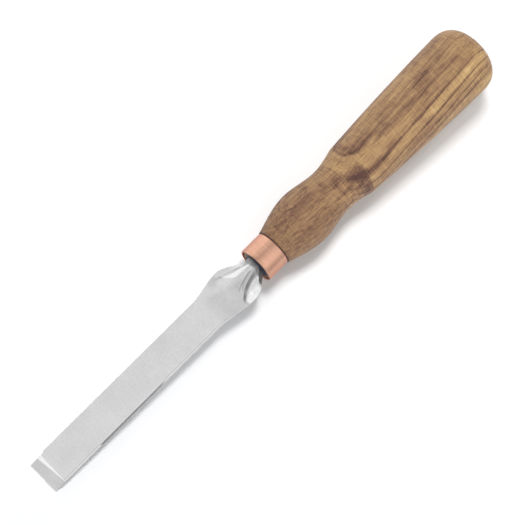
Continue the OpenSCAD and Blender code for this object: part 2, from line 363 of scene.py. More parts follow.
# Marks on the steel, most of them painted light and shade: where each comes up and goes down, and by
# how much it lightens or darkens
STEEL_COLOUR = srgb(240, 240, 241)
STEEL_TONE = 0.97
NECK_DARK = 0.40
BITE_DARK = 0.85
LINE_SPAN = ((14.0, 30.0), (124.0, 132.0))
LINE_INSET = 0.78
LINE_LIGHT = -0.16
STRIP_SPAN = ((64.0, 68.0), (103.0, 105.5))
STRIP_LIGHT = -0.70
RIDGE_LIGHT = -0.12
SLOPE_SPAN = ((2.0, 5.0), (14.0, 16.0))
SLOPE_ACROSS = ((1.1, 1.5), (2.5, 3.5))
LIT_SPAN = ((3.8, 5.2), (10.0, 12.0))
LIT_LIGHT = 0.14
BROAD_SPAN = ((7.0, 10.5), (22.0, 31.0))
BROAD_LIGHT = -0.13
PINCH_SPAN = ((3.5, 5.5), (12.5, 15.0))
PINCH_LIGHT = -0.22
FOOT_SPAN = ((2.0, 4.0), (15.0, 19.0))
FOOT_LIGHT = -0.22
LEFT_LOBE_SPAN = ((7.5, 10.5), (14.0, 16.5))
LEFT_LOBE_LIGHT = -0.14
SHADE_PATCH_AT = (19.0, -8.6)
SHADE_PATCH_LIGHT = -0.16
FACET_LIGHT = 0.10


def neck_scale_and_bite_shade(finish, x, y, z, speck):
    """Dark scale round the neck, and dark scale with painted shade in the bite beside it."""
    arc = finish.ramp((y + 0.3) ** 2.0, 0.0, 9.0, soft=False) * 0.9
    neck = finish.ramp(x - arc + speck * 1.2, 2.6, 1.6)
    ragged = speck * 0.9
    # The bite: forge scale and painted shade between the neck and the right lobe
    bite = finish.ramp(y - x * 1.03 + ragged, 1.0, 1.35)
    bite = bite * finish.ramp(y - x * 0.5 + ragged, 5.3, 4.8)
    bite = bite * finish.ramp(x, 5.4, 4.6) * finish.ramp(z, -1.0, 0.0)
    return neck, bite


def painted_edge_shade(finish, x, y, z, cloud):
    """Painted shade along the right edge: a thin dark line beside it, and a dark strip that breaks it.
    """
    to_edge = SHOULDER_W / 2 - y - finish.ramp(x, LOBE_AT[1], FLARE_START) * FLARE_NARROWS
    strip = finish.window(x, STRIP_SPAN)
    line = finish.ramp((to_edge - LINE_INSET) ** 2.0, 0.06, 0.005) * finish.window(x, LINE_SPAN)
    line = line * (cloud + 1.1) * (1.0 - strip)
    strip = strip * finish.ramp(to_edge, 0.56, 0.36) * finish.ramp(z, 0.8, 1.2)
    return [(line, LINE_LIGHT), (strip, STRIP_LIGHT)]


def painted_right_light(finish, x, y):
    """Painted light and shade on the right of the shoulder: the hollow's slope, the lobe, the face
    beside.
    """
    down = y - (x - 2.0) ** 2.0 * 0.031
    slope = finish.window(down, SLOPE_ACROSS) * finish.window(x, SLOPE_SPAN)
    lit = finish.ramp(down, 2.8, 3.6) * finish.ramp(y, 8.5, 7.0) * finish.window(x, LIT_SPAN)
    beyond = finish.ramp(y + (x - 11.0) * 0.28, -2.2, 0.8)
    broad = beyond * finish.ramp(down, 3.4, 1.4)
    broad = broad + finish.ramp(x, 14.0, 17.0) * (beyond - broad)
    broad = broad * finish.window(x, BROAD_SPAN)
    slope_light = finish.ramp(x, 8.0, 11.0) * -0.14 - 0.28
    return [(slope, slope_light), (lit, LIT_LIGHT), (broad, BROAD_LIGHT)]


def painted_left_shade(finish, x, y):
    """Painted shade on the ridge, in the crease of the fold and on the left of the shoulder."""
    ridge = finish.ramp((y + 0.5) ** 2.0, 8.0, 2.5) * finish.ramp(x, 18.0, 9.0)
    ahead = x - HOLLOW_START
    crease = y + FOLD_W - 1.25 - ahead * RIDGE_SLOPE - ahead ** 2.0 * 0.019
    pinch = finish.ramp(crease ** 2.0, 0.30, 0.02) * finish.window(x, PINCH_SPAN)
    beside = y + 2.5 + x * 0.32
    foot = finish.ramp(beside ** 2.0, 0.45, 0.03) * finish.window(x, FOOT_SPAN)
    lobe = finish.ramp(beside, 0.1, -0.9) * finish.window(x, LEFT_LOBE_SPAN)
    # A patch of painted shade where the left lobe runs out into the face
    from_shade_patch = ((x - SHADE_PATCH_AT[0]) ** 2.0 * 0.5 + (y - SHADE_PATCH_AT[1]) ** 2.0) ** 0.5
    shade_patch = finish.ramp(from_shade_patch, 3.0, 0.5)
    return [
        (ridge, RIDGE_LIGHT), (pinch, PINCH_LIGHT), (foot, FOOT_LIGHT),
        (lobe, LEFT_LOBE_LIGHT), (shade_patch, SHADE_PATCH_LIGHT)]


def painted_facet_highlight(finish, x, y):
    """The facet of the relief, lit by a painted highlight, which narrows to nothing at the right."""
    reach = (0.5 - y / BLADE_W) * (HEEL_RELIEF / 2)
    from_face = x - HEEL_AT + reach
    to_bevel = HEEL_AT - x + reach * (RELIEF_RISE / (BEVEL_RISE - RELIEF_RISE))
    facet = finish.ramp(from_face, -0.15, 0.0) * finish.ramp(to_bevel, 0.0, 0.1)
    return [(facet, FACET_LIGHT)]


def steel():
    """Ground and polished tool steel, dull at the neck, with fine scratches, and with painted light
    and shade on its shoulder and edges.
    """
    finish = Finish(bpy.data.materials.new("polished_steel"))
    tool = finish.tool_axes()
    x, y, z = finish.split(tool)
    cloud = finish.noise(tool, scale=0.09, detail=3.0)
    grind = finish.noise(finish.join(x * 1.6, y * 0.12, z * 1.6), detail=3.0)
    speck = finish.noise(tool, scale=1.3)
    scratch = finish.noise(finish.join(x * 0.2 + y * 0.9, y * 4.0 - x * 0.9, z))
    neck, bite = neck_scale_and_bite_shade(finish, x, y, z, speck)
    dull = neck + bite * (1.0 - neck)
    tone = STEEL_TONE + cloud * 0.22 + grind * 0.12 + speck * 0.16
    # Dark scale at the neck, and scale with painted shade in the bite
    tone = tone - neck * NECK_DARK - bite * (BITE_DARK - neck * NECK_DARK)
    # Painted light and shade on the edges, the shoulder and the relief's facet
    marks = painted_edge_shade(finish, x, y, z, cloud) + painted_right_light(finish, x, y)
    marks += painted_left_shade(finish, x, y) + painted_facet_highlight(finish, x, y)
    return finish.surface({
        "Base Color": finish.shaded(STEEL_COLOUR, finish.marked(tone, marks)),
        "Metallic": 1.0 - bite * 0.8,
        "Roughness": 0.25 + cloud * 0.10 + grind * 0.08 + dull * 0.25,
        "Normal": finish.bump(grind * 0.6 + scratch * 0.4, strength=0.06, distance=0.0002)})


COPPER_COLOUR = srgb(238, 185, 158)
COPPER_SHADED_FLANK = srgb(205, 146, 124)
COPPER_TONE = 0.96
HIGHLIGHT_ACROSS = ((-0.5, 1.2), (5.2, 6.6))


def copper():
    """Copper tube, brushed round its axis, with a painted highlight along its top, a painted darker
    band beside that, and painted shade on its far side and its flanks.
    """
    finish = Finish(bpy.data.materials.new("brushed_copper"))
    tool = finish.tool_axes()
    x, y, z = finish.split(tool)
    brush = finish.noise(finish.join(x * 1.3, y * 0.06, z * 0.06), detail=4.0, roughness=0.7)
    fine = finish.noise(finish.join(x * 2.6, y * 0.25, z * 0.25), detail=3.0, roughness=0.7)
    patina = finish.noise(tool, scale=0.16, detail=3.0)
    # Painted reflection: a highlight along the top, a darker band beside it and shade on the far side
    painted_highlight = finish.window(y, HIGHLIGHT_ACROSS)
    painted_dim_band = finish.ramp((y + 2.6) ** 2.0, 3.5, 0.6)
    far_side_shade = finish.ramp(y, 6.2, 7.2)
    tone = finish.marked(COPPER_TONE, (
        (brush, 0.36), (fine, 0.40), (patina, 0.20),
        (painted_highlight, 0.10), (painted_dim_band, -0.17), (far_side_shade, -0.15)))
    # Painted shade: a darker, pinker colour low on the flanks
    flank_shade = finish.ramp(z, 6.8, 2.5)
    metal = finish.mix(flank_shade, COPPER_COLOUR, COPPER_SHADED_FLANK)
    return finish.surface({
        "Base Color": finish.shaded(metal, tone),
        "Metallic": 1.0,
        "Roughness": 0.36 + brush * 0.16 + patina * 0.10,
        "Normal": finish.bump(brush + fine, strength=0.15, distance=0.0002)})


# Grain of the wood, in millimetres in the tool's axes
HEART_Y = -11.0
HEART_Z = 9.0
GRAIN_SLOPE = 0.055
GRAIN_TURN = 20.0
GRAIN_BEND = 0.0035
FIGURE_START = -67.7
FIGURE_LENGTH = 16.0

# Growth rings: how light each is, by its distance from the heart of the log in millimetres
RING_SPAN = 36.0
RINGS = (
    (0.0, 0.46), (2.5, 0.62), (4.2, 0.57), (5.4, 0.46), (6.4, 0.52), (7.6, 0.40),
    (8.3, 0.30), (8.7, 0.45), (10.0, 0.54), (11.2, 0.45), (12.2, 0.53), (13.2, 0.42),
    (14.4, 0.58), (15.6, 0.48), (16.8, 0.54), (17.9, 0.38), (18.35, 0.28), (18.6, 0.04),
    (18.85, 0.58), (20.4, 0.78), (21.8, 0.64), (22.3, 0.12), (22.7, 0.68), (24.2, 0.50),
    (24.7, 0.12), (25.1, 0.66), (26.2, 0.48), (26.7, 0.14), (27.2, 0.72), (29.6, 0.76),
    (30.4, 0.30), (31.0, 0.78))
RING_MEAN = 0.46

# Marks on the wood: the rings or the places in the tool's axes where they are, in millimetres
FIGURE_RING = 8.4
WEDGE_TONE = 0.63
WEDGE_LENGTH = 50.0
WEDGE_NARROWS = 0.23
WEDGE_LAST_RING = (17.0, 15.0)
DARK_RING = 17.5
RIM_RING = 7.8
HEART_RINGS = ((1.5, 5.0), (7.8, 8.6))
BROWN_SPAN = ((-116.0, -106.0), (-84.0, -72.0))
STAIN_AT = (-57.6, 3.2)
EYE_AT = (-31.0, -9.5)
EYE_RINGS = ((1.0, 2.6), (3.4, 5.0))
MOTTLE_AT = (-49.5, 1.5)
JOINT_SPAN = ((-FERRULE_LEN - 0.65, -FERRULE_LEN - 0.3), (-8.0, -4.0))

# Colours of the wood from its darkest tone to its lightest
WOOD_TONES = (
    (0.00, srgb(84, 59, 53)),
    (0.25, srgb(121, 90, 71)),
    (0.50, srgb(156, 123, 90)),
    (0.75, srgb(185, 152, 106)),
    (1.00, srgb(206, 176, 130)))


def wood():
    """Streaky brown hardwood: growth rings, fibres, flecks and faint marks of the lathe."""
    finish = Finish(bpy.data.materials.new("oiled_hardwood"))
    tool = finish.tool_axes()
    x, y, z = finish.split(tool)

    def clamped(value, low, high):
        return finish.node("ShaderNodeClamp", {}, {"Value": value, "Min": low, "Max": high})

    def stretched(along, second, third, detail, roughness=0.5):
        """Noise with its own fineness along the handle."""
        place = finish.join(x * along, second, third)
        return finish.noise(place, detail=detail, roughness=roughness)

    def streaks(along, beside, detail, roughness=0.6):
        """Noise drawn out along the grain."""
        return stretched(along, drift * beside, z * beside, detail, roughness)

    # The grain runs up towards the butt and turns down in the bulb
    ahead = x + ARRIS_AT
    turn = clamped(ahead, 0.0, GRAIN_TURN)
    past = clamped(ahead - GRAIN_TURN, 0.0, ARRIS_AT)
    drift = y - ahead * GRAIN_SLOPE + turn ** 2.0 * GRAIN_BEND + past * (2.0 * GRAIN_TURN * GRAIN_BEND)

    # The parts of the handle
    body = finish.ramp(ahead + z * (ARRIS_LEAN / ARRIS_R), 0.2, -0.2)
    bulb = finish.ramp(x, -48.0, -40.0)
    waist = 1.0 - body - bulb
    butt = finish.ramp(x, -118.0, -136.0)
    top = finish.ramp(z, -2.0, 4.0)

    # Growth rings about the heart, which round off at the waist
    figure = clamped(x - FIGURE_START, 0.0, FIGURE_LENGTH)
    from_heart = ((drift - HEART_Y) ** 2.0 + (z - HEART_Z) ** 2.0 + figure ** 2.0) ** 0.5
    ring = from_heart + streaks(0.018, 0.10, 2.0) * 1.6 + streaks(0.07, 0.35, 2.0) * 0.9
    stops = [(at / RING_SPAN, (level, level, level, 1.0)) for at, level in RINGS]
    band = finish.node("ShaderNodeRGBToBW", {}, {"Color": finish.colours(ring / RING_SPAN, stops)})
    faded = finish.ramp(streaks(0.035, 0.12, 2.0), -0.08, 0.16) * 0.55
    faded = faded + waist * (0.55 - faded) + bulb * (0.85 - faded)
    band = band + (RING_MEAN - band) * faded

    # A wedge of pale wood outside the rounded figure, with dark rings on both its sides
    wedge = FIGURE_RING + clamped(-ARRIS_AT - x, 0.0, WEDGE_LENGTH) * WEDGE_NARROWS
    pale = finish.ramp(ring - wedge, -0.3, 0.5) * finish.ramp(ring, *WEDGE_LAST_RING)
    near_arris = finish.ramp(x, -92.0, -64.0)
    dark = finish.ramp(abs(ring - DARK_RING), 1.5, 0.2) * near_arris * body
    rim = finish.ramp(abs(ring - RIM_RING), 1.2, 0.1) * near_arris * (1.0 - bulb)
    heart = finish.window(ring, HEART_RINGS) * finish.ramp(x, -84.0, -67.0) * body

    # A brown streak beside the wedge and darker wood above it towards the butt
    wander = streaks(0.05, 0.3, 2.0) * 3.0
    brown = finish.ramp((y + 2.6 + wander) ** 2.0, 4.0, 0.4) * top * finish.window(x, BROWN_SPAN)
    upper = finish.ramp(wander - y - 4.0 + (x + 108.0) * 0.16, 0.0, 1.5) * top
    upper = upper * finish.ramp(x, -102.0, -112.0)

    # A stain that ends at the arris, with brown wood below it and mottled wood before it
    stain_x = x - STAIN_AT[0]
    stain_x = stain_x - clamped(stain_x, -5.0, 0.0) * 0.6
    stain_y = y - STAIN_AT[1]
    stain_y = stain_y - clamped(stain_y, 0.0, 9.0) * 0.45
    stain = (stain_x ** 2.0 + stain_y ** 2.0 + streaks(0.3, 0.3, 2.0) * 12.0) ** 0.5
    stain = finish.ramp(stain, 6.0, 0.0) * waist * top
    under = finish.ramp(y, 3.0, 7.0) * finish.ramp(x, -55.5, -59.5) * waist
    mottle = ((x - MOTTLE_AT[0]) ** 2.0 * 0.35 + (y - MOTTLE_AT[1]) ** 2.0) ** 0.5
    mottle = finish.ramp(mottle, 5.0, 1.5) * top

    # Faint arcs of figure and fine threads on the bulb
    eye = ((x - EYE_AT[0]) ** 2.0 * 0.18 + (y - EYE_AT[1]) ** 2.0) ** 0.5
    eye = eye + streaks(0.2, 0.3, 2.0) * 1.6
    arcs = finish.node("ShaderNodeMath", {"operation": "SINE"}, {0: eye * 4.2}) * top
    arcs = finish.ramp(arcs, 0.5, 1.0) * finish.window(eye, EYE_RINGS) * bulb
    thread = streaks(0.05, 2.2, 2.0) * bulb

    # Fibres, pores, the lathe's lines and the dark line at the ferrule
    growth = stretched(0.02, ring, 0.0, 4.0, 0.65)
    strand = streaks(0.035, 0.9, 2.0)
    fibre = streaks(0.13, 1.25, 3.0, 0.7)
    fleck = finish.ramp(streaks(0.17, 1.4, 1.0), 0.07, 0.20)
    hatch = stretched(1.1, drift * 0.15, z * 0.15, 2.0, 0.7)
    blotch = stretched(0.16, y * 0.22, z * 0.22, 3.0)
    wide = stretched(0.06, y * 0.14, z * 0.14, 2.0)
    joint = finish.window(x, JOINT_SPAN)

    calm = 1.0 - pale * body * 0.45
    tone = band + pale * (WEDGE_TONE - band) * (0.95 - waist * 0.3)
    tone = finish.marked(tone, (
        (growth, calm * 0.38), (strand, calm * 0.26), (fibre, calm * 0.75),
        (hatch, 0.46 + waist * 0.16 - bulb * 0.12), (fleck, bulb * -0.05 - 0.12),
        (blotch, waist * 0.45), (wide, body * (0.38 - pale * 0.3)),
        (dark, -0.24), (rim, -0.10), (heart, -0.14), (brown, -0.12), (upper, -0.08),
        (stain, -0.36), (under, -0.16), (mottle, -0.16), (arcs, -0.14), (thread, 0.40),
        (bulb, -0.10), (waist, -0.04), (body, -0.03), (butt, 0.09), (joint, -0.50)))
    relief = fibre * 0.7 - fleck * 0.5 + hatch * 0.6
    return finish.surface({
        "Base Color": finish.colours(tone, WOOD_TONES),
        "Roughness": 0.55 - growth * 0.10 + fleck * 0.12,
        "Specular IOR Level": 0.3,
        "Normal": finish.bump(relief, strength=0.12, distance=0.0003)})


# Near-black blue of the adhesive, partly painted shade deep in the mouth of the ferrule
EPOXY_AND_SHADE_COLOUR = srgb(36, 41, 62)
DUST_COLOUR = srgb(138, 125, 100)


def epoxy():
    """Dark cured adhesive, glossy where it set and dusty on top; its near-black blue is partly painted
    shade deep in the mouth of the ferrule.
    """
    finish = Finish(bpy.data.materials.new("cured_epoxy"))
    tool = finish.tool_axes()
    y, z = finish.split(tool)[1:]
    dust = finish.noise(tool, scale=0.8, detail=3.0)
    out = (y ** 2.0 + z ** 2.0) ** 0.5
    spread = finish.ramp(out + dust * 3.0 - y * 0.12, 6.4, 7.6)
    return finish.surface({
        "Base Color": finish.mix(spread, EPOXY_AND_SHADE_COLOUR, DUST_COLOUR),
        "Roughness": 0.5 + dust * 0.3,
        "Normal": finish.bump(dust, strength=0.3, distance=0.0004)})


def deselect():
    """Leaves edit mode with nothing selected."""
    if bpy.context.object and bpy.context.object.mode != "OBJECT":
        bpy.ops.object.mode_set(mode="OBJECT")
    bpy.ops.object.select_all(action="DESELECT")


def take(piece):
    """Selects one piece alone."""
    deselect()
    bpy.context.view_layer.objects.active = piece
    piece.select_set(True)


def span(first, last, at):
    """Smooth curve between two stations, each a place, a value and a slope."""
    width = last[0] - first[0]
    t = (at - first[0]) / width
    rest = 1.0 - t
    return (first[1] * (1.0 + 2.0 * t) * rest ** 2 + first[2] * width * t * rest ** 2
            + last[1] * t ** 2 * (3.0 - 2.0 * t) - last[2] * width * t ** 2 * rest)


def follow(stations, at):
    """Value on the smooth curve through all stations, level beyond its ends."""
    at = min(max(at, stations[0][0]), stations[-1][0])
    for first, last in zip(stations, stations[1:]):
        if at <= last[0]:
            return span(first, last, at)


def steps(start, end, count):
    """Even places from start towards end, without the end."""
    return [start + (end - start) * i / count for i in range(count)]


def drawn_out(name, rings, crisp=0):
    """A closed skin: a filled ring of points is extruded once for each further ring,
    then each ring's points go to their places, in millimetres in the tool's axes.
    The last few rings may be crisp edges."""
    count = len(rings[0])
    deselect()
    bpy.ops.mesh.primitive_circle_add(vertices=count, radius=1.0, fill_type="NGON")
    piece = bpy.context.object
    piece.name = name
    piece.data.name = name
    bpy.ops.object.mode_set(mode="EDIT")
    bpy.ops.mesh.select_all(action="SELECT")
    for _ in rings[1:]:
        bpy.ops.mesh.extrude_region_move(TRANSFORM_OT_translate={"value": (0.0, 0.0, 1.0)})
    bpy.ops.object.mode_set(mode="OBJECT")
    points = piece.data.vertices
    levels = [round(point.co.z) for point in points]
    for edge in piece.data.edges:
        first, last = [levels[end] for end in edge.vertices]
        edge.use_edge_sharp = first == last >= len(rings) - crisp
    turns = [math.atan2(point.co.y, point.co.x) / (2.0 * math.pi) for point in points]
    for point, level, turn in zip(points, levels, turns):
        point.co = rings[level][round((turn - turns[0]) * count) % count]
    bpy.ops.object.mode_set(mode="EDIT")
    bpy.ops.mesh.select_all(action="SELECT")
    bpy.ops.mesh.normals_make_consistent(inside=False)
    bpy.ops.object.mode_set(mode="OBJECT")
    return piece


def round_edges(piece, chosen, width, segments):
    """Bevels the edges whose two ends pass the test."""
    take(piece)
    bpy.ops.object.mode_set(mode="EDIT")
    bpy.ops.mesh.select_mode(type="EDGE")
    bpy.ops.mesh.select_all(action="DESELECT")
    bpy.ops.object.mode_set(mode="OBJECT")
    points = piece.data.vertices
    for edge in piece.data.edges:
        edge.select = all(chosen(points[end].co) for end in edge.vertices)
    bpy.ops.object.mode_set(mode="EDIT")
    bpy.ops.mesh.bevel(offset=width, segments=segments, affect="EDGES")
    bpy.ops.object.mode_set(mode="OBJECT")


def laid(piece, material, node, smooth):
    """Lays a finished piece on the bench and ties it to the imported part."""
    take(piece)
    piece.matrix_world = BENCH @ Matrix.Scale(MM, 4)
    bpy.ops.object.transform_apply(location=True, rotation=True, scale=True)
    bpy.ops.object.shade_smooth_by_angle(angle=math.radians(smooth), keep_sharp_edges=True)
    piece.data.materials.clear()
    piece.data.materials.append(material)
    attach(piece, "root")
    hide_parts(node)


def side_of(y):
    """0 on the left of the blade, 1 on the right."""
    return 0 if y < 0 else 1


def half_width(x, side):
    """Half-width of the blade; the left corner is nipped in at the heel."""
    nip = follow(((NIP_SPAN[0], 0.0, 0.0), (NIP_SPAN[1], NIP, 0.0)), x) if side == 0 else 0.0
    return follow((
        (LOBE_START[side], NECK_W / 2, LOBE_RISE[side]),
        (LOBE_AT[side], SHOULDER_W / 2, 0.0),
        (FLARE_START, (BLADE_W - BLADE_TAPER) / 2, 0.0),
        (BLADE_LEN, BLADE_W / 2, 0.0)), x) - nip


def border(x, side):
    """Half-width of the raised panel that narrows from the face to the ridge."""
    end = BLADE_W / 2 - PANEL_INSET[side]
    if x > HOLLOW_END:
        return follow(((HOLLOW_END, end, 0.0), (FLARE_START, BLADE_W / 2 - PANEL_LAST_INSET, 0.0)), x)
    return follow((
        (HOLLOW_START, RIDGE_W / 2 + RIDGE_SKEW[side], RIDGE_SLOPE),
        (HOLLOW_MID, RIDGE_W / 2 + PANEL_SPREAD[side], PANEL_SLOPE[side]),
        (HOLLOW_END, end, PANEL_END_SLOPE)), x)


def wall_width(x, side):
    """How wide the slope is that falls from the panel to the bottom of the hollow."""
    return HOLLOW_W * follow((
        (HOLLOW_START, WALL_FIRST[side], 0.0),
        (HOLLOW_MID, 1.0, 0.0),
        (HOLLOW_END, WALL_END[side], 0.0),
        (FLARE_START, WALL_LAST, 0.0)), x)


def face_at(x):
    """Height of the flat face, which thins towards the heel."""
    share = max(0.0, (x - FLARE_START) / (BLADE_LEN - FLARE_START))
    return FACE_HEIGHT + (HEEL_HEIGHT - FACE_HEIGHT) * share


def panel_height(x, flat):
    """Height of the panel, which climbs from the flat to the neck."""
    return follow(((NECK_FRONT, NECK_T / 2, 0.0), (HOLLOW_END, flat, 0.0)), x)


def rim_ease(x, side):
    """Width of the softened rim; on the right the rim is bitten away beside the neck."""
    if side == 0:
        return EDGE_EASE
    return follow((
        (NECK_FRONT, BITE_FIRST_W, BITE_OPENS),
        (BITE_AT, BITE_W, 0.0),
        (BITE_END, EDGE_EASE, 0.0)), x)


def rounded(t):
    """Fall of a rounded rim, from none at 0 to all of it at 1."""
    return EDGE_EASE * (1.0 - math.sqrt(max(0.0, 1.0 - t ** 2)))


def rim_drop(x, y):
    """How far the softened rim falls below the skin; along the right edge it is crowned as well."""
    side = side_of(y)
    ease = rim_ease(x, side)
    inside = half_width(x, side) - abs(y)
    t = max(0.0, 1.0 - inside / ease)
    bitten = BITE_SLOPE * (ease - EDGE_EASE) * min(1.0, t / BITE_SHARE)
    shown = follow(CROWN_SHOWN, x) if side == 1 else 0.0
    crowned = CROWN_SLOPE * shown * max(0.0, CROWN_W - inside)
    return crowned + bitten + rounded(t)


def fold(x, y):
    """Depth of the hammer fold that runs along the right side of the panel."""
    crest = border(x, 1)
    crease = crest - FOLD_W
    depth = FOLD_DEPTH * follow(FOLD_SHOWN, x)
    if y < crease:
        return depth * max(0.0, 1.0 + (y - crease) / CREASE_W) ** 2
    return depth * max(0.0, (crest - y) / FOLD_W)


def face_rim(x, side):
    """Height of the face's rims: the left one stays with the panel, the right one stands beside it."""
    if side == 0:
        return panel_height(x, face_at(x)) - follow(LEFT_RIM_LOW, x)
    return follow(RIGHT_RIM, x)


def back_rim(x, side):
    """Height of the back's rims, which settle soon behind the neck."""
    return follow((
        (NECK_FRONT, NECK_T / 3, 0.0),
        (BACK_SETTLES, BACK_DEPTH + BACK_LIFT[side], 0.0),
        (HOLLOW_END, BACK_DEPTH, 0.0)), x)


def skin_height(x, y, flat, share, rim_at):
    """Height of the forged skin: panel, slope down to the hollow, lobe up to the rim."""
    side = side_of(y)
    out = abs(y)
    inner = border(x, side)
    wall = wall_width(x, side)
    outer = half_width(x, side) - rim_ease(x, side)
    panel = panel_height(x, flat)
    rim = rim_at(x, side) if x < HOLLOW_END else flat
    runout = follow(((HOLLOW_END - RUNOUT[side], 1.0, 0.0), (HOLLOW_END, 0.0, 0.0)), x)
    depth = share * HOLLOW_SLOPE[side] * wall * runout
    if out <= inner:
        return panel
    if out <= inner + wall:
        left_over = max(0.0, 1.0 - (out - inner) / wall)
        return panel - depth * (1.0 - left_over ** HOLLOW_POWER[side])
    along = min(1.0, (out - inner - wall) / (outer - inner - wall))
    return panel - depth + (rim - panel + depth) * along ** LOBE_POWER[side]


def uneven(x, y):
    """Slight unevenness that the hammer left on the shoulder."""
    place = Vector((x * HAMMER_FINE, y * HAMMER_FINE, HAMMER_LAYER))
    return noise.noise(place) * HAMMER_DEPTH * follow(HAMMER_SHOWN, x)


def across(x):
    """Places across a section, from the left rim to the right."""
    sides = []
    for side in (0, 1):
        inner = border(x, side)
        foot = inner + wall_width(x, side)
        ease = rim_ease(x, side)
        outer = half_width(x, side) - ease
        sides.append(steps(inner, foot, WALL_POINTS) + steps(foot, outer, LOBE_POINTS)
                     + [outer + ease * t for t in RIM_PLACES])
    left, right = sides
    crest = right[0]
    crease = crest - FOLD_W
    panel = steps(-left[0], crease - CREASE_W, PANEL_POINTS)[1:]
    panel += steps(crease - CREASE_W, crease, CREASE_POINTS) + steps(crease, crest, FOLD_POINTS)
    return [-y for y in left[::-1]] + panel + right


def blade_ring(x):
    """One section of the blade: over the face from left to right and back under it."""
    over = []
    under = []
    for y in across(x):
        face = skin_height(x, y, face_at(x), 1.0, face_rim) - fold(x, y) - rim_drop(x, y)
        back = skin_height(x, y, BACK_DEPTH, BACK_SHARE, back_rim)
        outside = max(0.0, 1.0 + (abs(y) - half_width(x, side_of(y))) / EDGE_EASE)
        over.append((x, y, face + uneven(x, y)))
        under.append((x, y, rounded(outside) - back))
    return over + under[::-1]


def ground_rings():
    """The ground end of the blade: heel, relief, bevel and honed edge, each a straight line across."""
    thinning = (FACE_HEIGHT - HEEL_HEIGHT) / (BLADE_LEN - FLARE_START)
    heel = []
    bevel = []
    hone = []
    edge = []
    for y in across(BLADE_LEN):
        depth = HEEL_RELIEF / 2 * RELIEF_RISE * (0.5 - y / BLADE_W)
        face_x = (RELIEF_RISE * HEEL_AT - depth - thinning * BLADE_LEN) / (RELIEF_RISE - thinning)
        bevel_x = HEEL_AT + depth / (BEVEL_RISE - RELIEF_RISE)
        heel.append((face_x, y, face_at(face_x) - rim_drop(face_x, y)))
        bevel.append((bevel_x, y, HEEL_HEIGHT - BEVEL_RISE * (bevel_x - HEEL_AT)))
        hone.append((HONE_X, y, HONE_Z))
        edge.append((BLADE_LEN, y, EDGE_LAND - BACK_DEPTH))
    lines = (heel, bevel, hone, edge)
    return [line + [(x, y, -BACK_DEPTH) for x, y, z in line[::-1]] for line in lines]


def tang_ring(x, width, thickness):
    """One section of the tang, with as many points as a section of the blade."""
    count = len(across(x))
    row = [-width / 2 + width * i / (count - 1) for i in range(count)]
    over = [(x, y, thickness / 2) for y in row]
    under = [(x, y, -thickness / 2) for y in row]
    return over + under[::-1]


def make_blade():
    """Tang, neck, shoulder and blade drawn out in one piece and ground to its edge."""
    rings = [
        tang_ring(NECK_BACK - TANG_LEN, TANG_END, TANG_END),
        tang_ring(NECK_BACK, TANG_W, TANG_T),
        [(NECK_BACK, y, z) for x, y, z in blade_ring(NECK_FRONT)]]
    places = steps(NECK_FRONT, HOLLOW_END, SHOULDER_SECTIONS)
    places += steps(HOLLOW_END, FLARE_START, FLARE_SECTIONS)
    places += steps(FLARE_START, NIP_SPAN[0], FLAT_SECTIONS)
    places += steps(NIP_SPAN[0], NIP_SPAN[1], NIP_SECTIONS)
    rings += [blade_ring(x) for x in places]
    ground = ground_rings()
    piece = drawn_out("blade_forged", rings + ground, crisp=len(ground))
    laid(piece, steel(), "blade", smooth=16.0)


def on_rim(x, outside):
    """A test for the points of one of the ferrule's rims."""
    def test(point):
        far_out = math.hypot(point.y, point.z) > FERRULE_R - FERRULE_WALL / 2
        return abs(point.x - x) < SAME_PLACE and far_out == outside
    return test


def make_ferrule():
    """Ring of copper tube with a rounded lip."""
    deselect()
    bpy.ops.mesh.primitive_cylinder_add(
        vertices=ROUND_POINTS, radius=FERRULE_R, depth=FERRULE_LEN, end_fill_type="NOTHING",
        location=(-FERRULE_LEN / 2, 0.0, 0.0), rotation=(0.0, math.pi / 2, 0.0))
    piece = bpy.context.object
    piece.name = "ferrule_ring"
    piece.data.name = "ferrule_ring"
    bpy.ops.object.transform_apply(location=True, rotation=True, scale=True)
    wall = piece.modifiers.new("wall", "SOLIDIFY")
    wall.thickness = FERRULE_WALL
    wall.offset = -1.0
    wall.use_even_offset = True
    bpy.ops.object.modifier_apply(modifier="wall")
    round_edges(piece, on_rim(0.0, True), FERRULE_ROUND, segments=6)
    round_edges(piece, on_rim(0.0, False), FERRULE_INNER_ROUND, segments=3)
    round_edges(piece, on_rim(-FERRULE_LEN, True), FERRULE_BACK_ROUND, segments=3)
    laid(piece, copper(), "ferrule", smooth=40.0)


